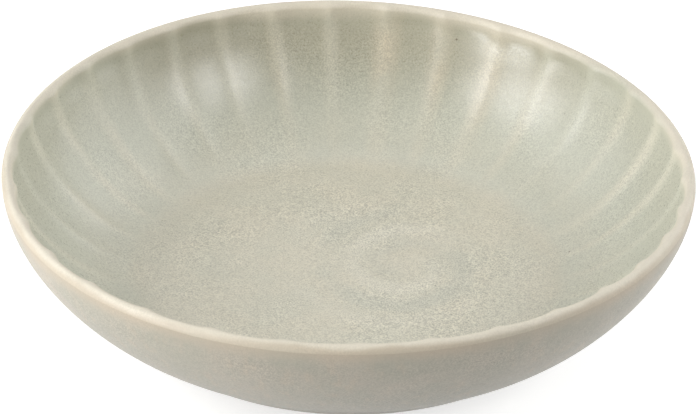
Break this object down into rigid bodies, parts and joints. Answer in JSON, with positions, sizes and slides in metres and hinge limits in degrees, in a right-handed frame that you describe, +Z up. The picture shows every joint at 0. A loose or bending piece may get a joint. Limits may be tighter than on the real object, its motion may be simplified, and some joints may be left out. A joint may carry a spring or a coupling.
{
  "type": "bowl",
  "caption": "Wide shallow glazed stoneware bowl with a fluted inner wall, a scalloped rounded lip, a smooth rounded outside and a low bare foot ring, for serving or eating food.",
  "frame": {"origin": "middle of the foot ring's ground face, where the bowl stands on a table", "axes": "+Z up along the bowl's axis, out of its mouth; +X to the right and -Y towards the viewer of the picture"},
  "size_m": [0.2199, 0.2199, 0.0552],
  "materials": {
    "bare_stoneware": "matte fired clay",
    "inner_glaze": "satin",
    "outer_glaze": "satin",
    "foot_well_glaze": "satin"
  },
  "bodies": {
    "root": {"stoneware_body": "bare_stoneware", "inner_glaze": "inner_glaze", "outer_glaze": "outer_glaze", "foot_well_glaze": "foot_well_glaze"}
  },
  "joints": []
}
